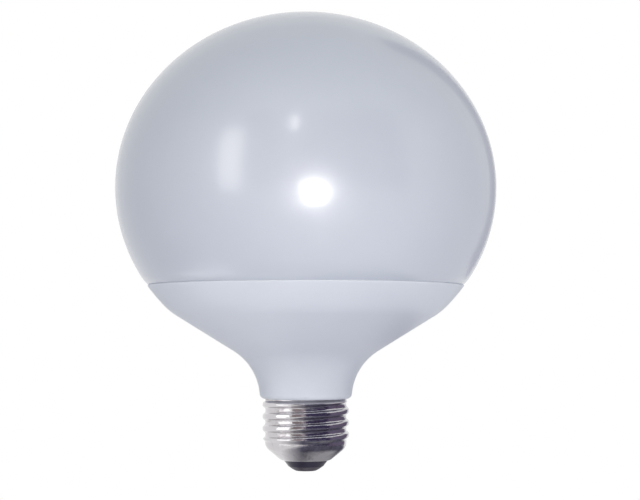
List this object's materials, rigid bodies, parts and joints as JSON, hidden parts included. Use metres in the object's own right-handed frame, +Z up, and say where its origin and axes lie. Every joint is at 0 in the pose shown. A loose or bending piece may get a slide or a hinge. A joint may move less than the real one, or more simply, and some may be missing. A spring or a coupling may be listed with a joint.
{
  "type": "globe bulb",
  "caption": "Globe lamp with a milky glossy diffuser, a satin white flared housing and a plated screw cap that turns into a lampholder",
  "frame": {"origin": "centre of the flat end of the centre contact, on the bulb's axis", "axes": "+Z runs up the bulb's axis from the contact to the crown of the globe, and the picture is taken from the -Y side"},
  "size_m": [0.1158, 0.1158, 0.139],
  "materials": {
    "milky_globe": "milky glossy diffuser",
    "satin_housing": "satin moulded white",
    "plated_shell": "bright nickel plate over pressed sheet",
    "black_glass": "black moulded glass",
    "contact_metal": "tinned contact"
  },
  "bodies": {
    "root": {"diffuser_globe": "milky_globe", "housing": "satin_housing", "screw_shell": "plated_shell", "cap_insulator": "black_glass", "centre_contact": "contact_metal"}
  },
  "joints": []
}
